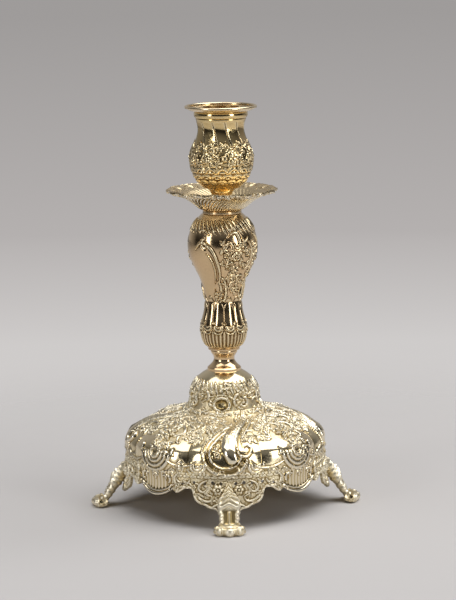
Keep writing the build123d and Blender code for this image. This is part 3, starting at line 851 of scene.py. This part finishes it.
leg_line = [
    (62.2, 27.0), (64.2, 22.4), (67.2, 17.8), (70.4, 12.8), (73.4, 7.8), (76.2, 4.0), (79.4, 2.0),
    (81.8, 2.7), (82.4, 4.4), (80.9, 5.2), (80.1, 4.2)
]
leg_widths = [1.6, 3.4, 6.8, 7.0, 6.3, 7.2, 9.2, 9.8, 9.0, 7.6, 6.4]
leg_depths = [1.2, 2.6, 3.1, 2.7, 2.1, 1.7, 1.5, 1.2, 1.0, 0.8, 0.5]
knee_end, ankle_end = 0.44, 0.66


def knob(t, q, middle, long, wide):
    """An oval knob across the middle of the leg, at a share of its length."""
    return rounded(np.hypot((t - middle) / long, q / wide))


def leg_relief(t, q):
    """What stands up on the leg's front and on the underside of its toe."""
    q = np.abs(q)
    knee = ease((knee_end - t) / 0.06)
    ankle = ease((t - knee_end + 0.02) / 0.06) * ease((ankle_end - t) / 0.05)
    front = 0.8 * ripple(q, 0.84, 0.12) * ease((0.72 - t) / 0.05)
    front = front + 1.2 * knee * np.abs(np.sin(math.pi * (13 * t - 1.2 * q)))
    front = front + 0.6 * ankle * ease((q - 0.6) / 0.1) * np.abs(np.sin(20 * math.pi * t))
    front = front + 0.8 * ripple(t - 0.13 * q, 0.27, 0.018)
    front = front + ankle * (0.9 * np.clip(1 - q / 0.2, 0, 1) - 0.7 * rounded(q / 0.62, 1))
    front = front + 1.1 * knob(t, q, 0.2, 0.05, 0.26) + knob(t, q, 0.72, 0.05, 0.3)
    ends = np.hypot((t - 0.885) / 0.062, (q - 0.72) / 0.27)
    toe = 1.1 * rounded(ends) - 0.8 * ripple(ends, 0.6, 0.15) + 1.1 * knob(t, q, 0.88, 0.05, 0.28)
    back = (0.9 * knee + 0.5 * ankle) * np.abs(np.sin(13 * math.pi * t))
    return front, toe, back


def leg():
    """A leaf that bows out from the apron, narrows at the ankle and rolls up at the toe."""
    count, rounds = 200, 100
    shape = [(*p, w, d) for p, w, d in zip(leg_line, leg_widths, leg_depths)]
    line = natural_spline(shape, count)[1]
    ahead = np.gradient(line[:, :2], axis=0)
    ahead /= np.linalg.norm(ahead, axis=1)[:, None]
    outward = np.stack([-ahead[:, 1], ahead[:, 0]], 1) * np.sign(ahead[:1, 0])
    way = 2 * math.pi * np.arange(rounds) / rounds
    q = (np.sign(np.cos(way)) * np.abs(np.cos(way)) ** 0.8)[None, :]
    face = (np.sign(np.sin(way)) * np.abs(np.sin(way)) ** 0.9)[None, :]
    t = np.linspace(0, 1, count)[:, None]
    front, toe, back = leg_relief(t, q)
    front, toe = front * np.clip(4 * face, 0, 1), toe * np.clip(-4 * face, 0, 1)
    depth = line[:, 3:4] * face + front - toe - back * np.clip(-face, 0, 1)
    width = line[:, 2:3] * (0.9 + 0.1 * np.abs(np.sin(math.pi * (11 * t + 0.5))))
    curled = ease((t - 0.62) / 0.1)
    reach = line[:, :1] + outward[:, :1] * depth - 3.0 * curled * q ** 2
    level = line[:, 1:2] + outward[:, 1:2] * depth + curled * (0.5 * q ** 2 - 0.9 * (face < 0))
    points = np.stack([width * q, -reach, np.maximum(level, 0)], -1)
    faces = [grid_faces(count, rounds, True)]
    half = np.arange(rounds // 2 - 1)
    lid = np.stack([half, half + 1, rounds - 2 - half, rounds - 1 - half], -1)
    faces += [lid, (count - 1) * rounds + lid[:, ::-1]]
    hollow = np.clip(-(front + toe - 0.15) / 0.45, -1, 1)
    fields = {"hollow": hollow.ravel(), "dull": np.full(count * rounds, 0.45)}
    return mesh_of("leg", points.reshape(-1, 3), np.concatenate(faces), fields)


leg_mesh = leg()
for i, side in enumerate(sides):
    show(f"apron_{side}", apron_mesh, "stand", f"foot_{side}", gilt_cast, angle=90 * i)
    show(f"leg_{side}", leg_mesh, "stand", f"foot_{side}", gilt_cast, angle=90 * i)


# Stem: two bulbs, chased with cartouches above and with petals and flutes below

stem_outline = [
    (12.6, 183.3), (17.4, 178.0), (20.4, 171.4), (21.3, 164.6), (20.5, 157.2), (17.2, 149.2),
    (13.4, 140.5), (11.2, 129.5), (12.3, 122.1), (14.0, 114.9), (14.0, 107.7), (12.4, 102.8), (9.6, 99.5)
]
waist = 7
panels = 12
panel_top, panel_swell = 132.5, 0.6


def panelled(skin, foot):
    """Upright swelling panels between thin ridges, arched at their tops."""
    phase = (skin.turn[None, :] * panels / 360) % 1.0
    across = np.abs(phase - 0.5) * 2
    arch = at_level(skin, panel_top) + 4.5 * across ** 2
    along = skin.along[:, None]
    inside = ease((along - arch) / 1.6) * ease((at_level(skin, foot) - along) / 1.2)
    skin.form = skin.form + panel_swell * inside * (0.35 - across ** 2)
    skin.chase = skin.chase * (1 - inside) + 0.25 * inside * rounded((1 - across) / 0.07, 1)
    skin.cut = skin.cut * (1 - inside)
    skin.chase = np.maximum(skin.chase, 0.35 * ripple(along - arch, -0.3, 0.32) * ease(along / 2))


bulb_lines = [
    ([(-52, 163), (-40, 167.5), (-28, 166), (-17, 161.5), (-10, 154), (-8, 147), (-12, 141)], 1.0),
    ([(-32, 170.5), (-38, 167.4), (-33, 164.2), (-28, 166.6)], 0.9),
    ([(-30, 161), (-22, 158), (-17, 152), (-17, 146), (-22, 141.5)], 0.55),
    ([(-14, 143), (-7, 138.5), (-10, 132), (-22, 129.6), (-26, 133)], 1.0),
    ([(-8, 146), (4, 141.5), (6, 135), (-2, 130.5), (-8, 132)], 0.8),
    ([(-24, 138), (-22, 131), (-34, 128.4)], 0.8),
    ([(8, 171), (16, 173.4), (27, 171.4), (29, 166.4), (22, 164.4), (18, 167)], 1.0),
    ([(31, 171.4), (38, 168), (46, 170.4)], 0.8), ([(-46, 174), (-36, 175), (-26, 172.4)], 0.8),
    ([(46, 168), (54, 163), (53, 155), (45, 151), (39, 153.4)], 0.8),
    ([(60, 172), (70, 170), (76, 164), (71, 159), (64, 161)], 0.8),
    ([(56, 148), (64, 142), (60, 135), (50, 133), (48, 138)], 0.8),
    ([(80, 140), (88, 134), (84, 130)], 0.7)
]
bulb_sprays = [
    (16, 150, -30, 5, 6), (10, 146, 60, 4, 5.5), (34, 145, 110, 4, 6), (-2, 166, -40, 4, 5),
    (40, 161, -60, 4, 5), (66, 153, 60, 5, 6), (-16, 136, 70, 5, 6), (30, 138, 60, 4, 5),
    (-4, 154, -70, 3, 4)
]
bulb_roses = [
    (22, 158.8, 3.0), (5, 160, 1.9), (70, 146, 2.0), (58, 166, 1.9), (8, 152, 1.7), (36, 153.5, 1.8),
    (80, 156, 2.2)
]


def chase_upper_bulb(skin):
    """Slanting gadroons at the top, then a smooth cartouche, scrolls, roses and acanthus."""
    turn, level = skin.turn[None, :], skin.level[:, None]
    ridge = np.interp(-level, [-172, -160, -150, -141, -136], [-20, -10, -8, -12, -20])
    gap = (turn - ridge + 90) % 180 - 90
    ground = ease((gap - 2) / 4) * ease((102 - gap) / 4) * ease((170 - level) / 3) * ease((level - 136) / 3)
    foliage(skin, ground + 0 * turn, 6.0, 5.8, 111, 0.7)
    for i in range(18):
        middle = -90 + 10 * i
        points = [(middle - 7, 180.2), (middle - 2, 177.4), (middle + 3, 174.4), (middle + 7, 172.4)]
        stroke(skin, at_levels(skin, points), 0.8, 0.55, trench=0.25, taper=(0.7, 0.2))
    for points, width in bulb_lines:
        stroke(skin, at_levels(skin, points), width, 0.95, trench=0.3, taper=(0.4, 0.5))
    for middle, high, angle, count, size in bulb_sprays:
        spray(skin, middle, at_level(skin, high), angle, count, size, 0.85, 0.7, fan=140)
    for middle, high, radius in bulb_roses:
        rose(skin, middle, at_level(skin, high), radius, 1.0, spin=middle)
    panelled(skin, 120)
    skin.fade(ease(skin.along / 1.5))


def chase_lower_bulb(skin):
    """Polished swelling panels, a row of cusped petals, and fine flutes below."""
    petals, foot = at_level(skin, 114.2), at_level(skin, 109.4)
    panelled(skin, 113.4)
    below = np.broadcast_to(ease((skin.along - petals) / 1.5)[:, None], skin.form.shape)
    for i in range(int(panels * skin.span / 360)):
        turn = skin.start + (i + 0.5) * 360 / panels
        shell(skin, turn, petals - 0.6, 3.4, 90, 0.75, arcs=2, open_to=100)
        stroke(skin, [(turn - 14.5, petals - 2.2), (turn - 11, petals + 2.2), (turn, petals + 4.1),
                      (turn + 11, petals + 2.2), (turn + 14.5, petals - 2.2)], 0.6, 0.8, trench=0.3)
        rose(skin, turn + 15, petals - 2.2, 1.0, 0.8)
    flutes(skin, foot - 2.5, skin.along[-1] - 1.6, 36, 0.55)
    matted(skin, below, 13, 0.3, 0.015)


upper_bulb = Skin(stem_outline[:waist + 1], 0.3, -90.0, 180.0)
chase_upper_bulb(upper_bulb)
show("stem_upper", bell_mesh("stem_upper", upper_bulb, 2), "stand", "stem_shell", gilt_stem)
lower_bulb = Skin(stem_outline[waist:], 0.26, -60.0, 120.0)
chase_lower_bulb(lower_bulb)
show("stem_lower", bell_mesh("stem_lower", lower_bulb, 3), "stand", "stem_shell", gilt_stem)


# Cup: hollow swirled panels at the neck, a band of flowers, and scales round the bowl

cup_outline = [
    (15.3, 241.3), (14.4, 236.3), (15.0, 232.1), (16.8, 227.1), (18.7, 222.4), (19.6, 217.5),
    (19.0, 212.7), (17.2, 207.4), (14.0, 202.4), (11.4, 199.5)
]


cup_roses = [(-20, 223.5, 2.2), (24, 216.5, 2.8), (4, 219, 2.0), (-38, 217, 2.0), (40, 224, 1.6)]
cup_sprays = [
    (-28, 219, 20, 4, 5), (-8, 226, 80, 4, 5), (14, 222, -60, 4, 5), (32, 221, 100, 4, 5),
    (-12, 216, 40, 5, 5), (10, 214, 10, 4, 5), (42, 216, -20, 4, 4.5)
]
cup_lines = [
    [(-30, 229), (-22, 227), (-16, 221), (-6, 221.5), (0, 226)], [(8, 229), (16, 225), (28, 227)],
    [(-42, 227), (-36, 223), (-30, 214)], [(34, 229), (44, 226), (46, 219)]
]


def chase_cup(skin):
    """Swirled panels with cut edges, then flowers between scrolls, then rows of scales."""
    top, band, bowl = at_level(skin, 240), at_level(skin, 230), at_level(skin, 212.5)
    lean = 0.9 * (skin.along - top)
    phase = ((skin.turn[None, :] - lean[:, None] - 8) / (360 / panels)) % 1.0
    across = np.abs(phase - 0.5) * 2
    inside = ease(skin.along / 2) * ease((band + 5 - skin.along) / 3)
    skin.form = skin.form + 0.45 * inside[:, None] * (across ** 2 - 0.5)
    skin.cut = skin.cut - 0.45 * rounded((1 - across) / 0.1, 1) * inside[:, None]
    below = np.broadcast_to(ease((skin.along - band - 2) / 2)[:, None], skin.form.shape)
    matted(skin, 0.5 * below, 17, 0.3, 0.03)
    flowers = below * ease((bowl - 0.5 - skin.along) / 1.0)[:, None]
    foliage(skin, flowers, 4.8, 4.6, 171, 0.45)
    for turn, level, radius in cup_roses:
        rose(skin, turn, at_level(skin, level), radius, 0.8, spin=turn)
    for turn, level, angle, count, size in cup_sprays:
        spray(skin, turn, at_level(skin, level), angle, count, size, 0.75, 0.55, fan=150)
    for points in cup_lines:
        stroke(skin, at_levels(skin, points), 0.55, 0.65, trench=0.18)
    for row, (level, radius) in enumerate([(209.6, 4.6), (206.0, 3.8), (203.0, 3.2)]):
        for i in range(4):
            turn = -45 + 22.5 * (i + 0.5 * row)
            shell(skin, turn, at_level(skin, level), radius, -90, 0.7, arcs=2.2, open_to=100)
    wave = [(-45, 213), (-33, 210.4), (-22.5, 213), (-11, 210.4), (0, 213), (11, 210.4), (22.5, 213),
            (33, 210.4), (45, 213)]
    stroke(skin, at_levels(skin, wave), 0.5, 0.6, trench=0.2, taper=(1, 1))
    skin.fade(ease((skin.along[-1] - skin.along) / 1.0) * ease(skin.along / 0.8))


cup = Skin(cup_outline, 0.36, -45.0, 90.0)
chase_cup(cup)
show("cup", skin_mesh("cup", cup, 4, wall=0.95, inner_share=0.3), "stand", "cup_shell", gilt_cup)
rod_hole = 2.75
cup_floor = [(rod_hole, 199.5), (11.3, 199.5), (11.3, 200.4), (rod_hole, 200.4)]
show("cup_floor", turned_mesh("cup_floor", cup_floor, 96), "stand", "cup_shell", gilt_inside)


# Drip pan: a pierced and scalloped border over slanting gadroons

pan_outline = [(34.3, 198.3), (29.6, 196.4), (23.6, 193.7), (18.0, 190.1), (14.2, 187.1), (11.2, 185.5)]
scallop = 22.5


def chase_pan(skin):
    """Scrolls and flowers on the border, holes through it, and gadroons down to the foot."""
    border = np.broadcast_to(ease((8 - skin.along) / 1.0)[:, None], skin.form.shape)
    foliage(skin, border, 4.2, 4.2, 191, 0.8)
    inside = skin.along[:, None] - 1.1 * np.abs(np.sin(np.radians(skin.turn * 180 / scallop)))[None, :]
    skin.chase = skin.chase + 0.5 * rounded((inside - 0.7) / 0.7)
    wave = np.sin(np.radians(skin.turn * 360 / scallop + 60))[None, :]
    skin.form = skin.form + 0.55 * wave * ease((9 - skin.along[:, None]) / 6)
    for i in range(2):
        turn = -scallop + i * scallop
        curl(skin, turn + 5, 3.6, 7.5, 60, 150, 0.7, 0.75, trench=0.2)
        curl(skin, turn - 5.5, 4.6, 7, 120, 140, 0.65, 0.7, flip=-1, trench=0.2)
        rose(skin, turn + 11, 4.4, 1.5, 0.7)
        spray(skin, turn, 6.4, -90, 3, 4, 0.8, 0.55)
        for gap, along, radius in [(0.6, 3.1, 0.75), (8.0, 5.9, 0.7), (-7.6, 6.8, 0.65)]:
            x, y = skin.offset(turn + gap, along)
            inside = np.minimum(inside, np.hypot(x, y) - radius)
    flutes(skin, 9.0, skin.along[-1] - 1.5, 56, 0.6, slant=1.6, hollow=False)
    return inside


pan = Skin(pan_outline, 0.36, -scallop, 2 * scallop)
pan_inside = chase_pan(pan)
show("drip_pan_dish", skin_mesh("drip_pan_dish", pan, 8, wall=0.95, inside=pan_inside, inner_share=0.7),
     "stand", "drip_pan", gilt_pan)
pan_floor = [(rod_hole, 185.5), (11.3, 185.5), (12.2, 186.0), (12.2, 186.6), (rod_hole, 186.5)]
show("drip_pan_floor", turned_mesh("drip_pan_floor", pan_floor, 128), "stand", "drip_pan", gilt_pan)


# Turned and plain pieces keep their shapes from the frame, in better metal

for node, material in [("base_neck", gilt_stem), ("stem_foot_collar", gilt_stem), ("pan_collar", gilt_stem),
                       ("cup_boss", gilt_cup), ("cup_rim_ring", gilt_cup), ("nozzle_flange", gilt_pan),
                       ("nozzle_sleeve", gilt_inside), ("tie_rod", iron), ("dome_washer", iron),
                       ("spring_washer", iron), ("rod_nut", iron), ("cup_nut", iron)]:
    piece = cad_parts[node]
    for slot in piece.material_slots:
        slot.material = material


# Floor, lamps and camera

floor_colour = (0.706, 0.68, 0.67)
floor_half = 1600
fade_start, fade_end = 0.1, 0.5


def paper():
    """Pale paper that fades into the backdrop far from the object, and is clear from below."""
    material = bpy.data.materials.new("paper")
    material.use_nodes = True
    tree = material.node_tree
    nodes, links = tree.nodes, tree.links
    shader = nodes["Principled BSDF"]
    shader.inputs["Base Color"].default_value = (*floor_colour, 1)
    shader.inputs["Roughness"].default_value = 0.9
    shader.inputs["Specular IOR Level"].default_value = 0.1
    place, seen = nodes.new("ShaderNodeNewGeometry"), nodes.new("ShaderNodeLightPath")
    far = nodes.new("ShaderNodeVectorMath")
    far.operation = "LENGTH"
    links.new(place.outputs["Position"], far.inputs[0])
    faded = ranged(tree, far.outputs["Value"], fade_start, fade_end)
    faded.node.interpolation_type = "SMOOTHSTEP"
    faded = joined(tree, faded, seen.outputs["Is Camera Ray"], "MULTIPLY")
    clear, both = nodes.new("ShaderNodeBsdfTransparent"), nodes.new("ShaderNodeMixShader")
    links.new(joined(tree, faded, place.outputs["Backfacing"], "MAXIMUM"), both.inputs["Fac"])
    links.new(shader.outputs["BSDF"], both.inputs[1])
    links.new(clear.outputs["BSDF"], both.inputs[2])
    links.new(both.outputs["Shader"], nodes["Material Output"].inputs["Surface"])
    return material


corners = [(x * floor_half, y * floor_half, 0) for x, y in [(-1, -1), (1, -1), (1, 1), (-1, 1)]]
stage = bpy.data.objects.new("floor", mesh_of("floor", corners, [(0, 1, 2, 3)]))
bpy.context.scene.collection.objects.link(stage)
stage.data.materials.append(paper())

lamp_far, lamp_aim = 1500, (0, 0, 120)


def lamp(name, turn, rise, width, height, power):
    """A soft box that faces the object from a turn and a rise in degrees."""
    light = bpy.data.lights.new(name, "AREA")
    light.shape = "RECTANGLE"
    light.size, light.size_y, light.energy = width * mm, height * mm, power
    thing = bpy.data.objects.new(name, light)
    bpy.context.scene.collection.objects.link(thing)
    a, e = math.radians(turn), math.radians(rise)
    back = Vector((math.sin(a) * math.cos(e), -math.cos(a) * math.cos(e), math.sin(e)))
    thing.location = Vector(lamp_aim) * mm + back * lamp_far * mm
    thing.rotation_mode = "QUATERNION"
    thing.rotation_quaternion = (-back).to_track_quat("-Z", "Y")


lamp("left_box", -50, 14, 300, 880, 4.0)
lamp("right_box", 46, 14, 380, 880, 4.6)
lamp("top_right_box", 95, 66, 1350, 1350, 17.5)
lamp("top_left_box", -70, 72, 1100, 1100, 7.0)

dark_front, dim_ceiling, pale_wall = (0.022, 0.021, 0.02), (0.17, 0.167, 0.164), (0.36, 0.35, 0.345)
backdrop_foot, backdrop_low, backdrop_high = (0.62, 0.6, 0.592), (0.465, 0.442, 0.436), (0.345, 0.33, 0.325)


def studio():
    """A dark room in front, a pale wall behind and a dim ceiling; the camera sees the backdrop."""
    world = bpy.data.worlds.new("studio")
    bpy.context.scene.world = world
    world.use_nodes = True
    world.cycles_visibility.diffuse = False
    tree = world.node_tree
    nodes, links = tree.nodes, tree.links
    place, split = nodes.new("ShaderNodeTexCoord"), nodes.new("ShaderNodeSeparateXYZ")
    links.new(place.outputs["Generated"], split.inputs[0])

    def between(axis, start, end, first, second):
        return mixed(tree, ranged(tree, split.outputs[axis], start, end), first, second)

    room = between("Y", 0.2, 0.8, between("Z", 0.12, 0.6, dark_front, dim_ceiling), pale_wall)
    backdrop = between("Z", -0.145, -0.05, backdrop_low, backdrop_high)
    backdrop = between("Z", -0.185, -0.14, backdrop_foot, backdrop)
    seen = nodes.new("ShaderNodeLightPath")
    colour = mixed(tree, seen.outputs["Is Camera Ray"], room, backdrop)
    links.new(colour, nodes["Background"].inputs["Color"])


studio()

camera_far, camera_high, camera_right = 1461.0, 378.0, 2.9
camera_turn, camera_dip, camera_roll = math.radians(1.5), math.radians(9.67), math.radians(0.78)
lens, sensor = 143.5, 36.0
ahead = Vector((math.sin(camera_turn) * math.cos(camera_dip), math.cos(camera_turn) * math.cos(camera_dip),
                -math.sin(camera_dip)))
right = Vector((math.cos(camera_turn), -math.sin(camera_turn), 0))
up = right.cross(ahead)
rolled_right = right * math.cos(camera_roll) - up * math.sin(camera_roll)
rolled_up = up * math.cos(camera_roll) + right * math.sin(camera_roll)
camera = bpy.data.objects.new("camera", bpy.data.cameras.new("camera"))
camera.data.lens, camera.data.sensor_width = lens, sensor
place = Vector((-math.sin(camera_turn) * camera_far, -math.cos(camera_turn) * camera_far, camera_high))
place = (place + right * camera_right) * mm
turned = Matrix((rolled_right, rolled_up, -ahead)).transposed().to_4x4()
camera.matrix_world = Matrix.Translation(place) @ turned
camera.data.clip_end = 20.0
bpy.context.scene.collection.objects.link(camera)
bpy.context.scene.camera = camera

view = bpy.context.scene.view_settings
view.view_transform = "Standard"
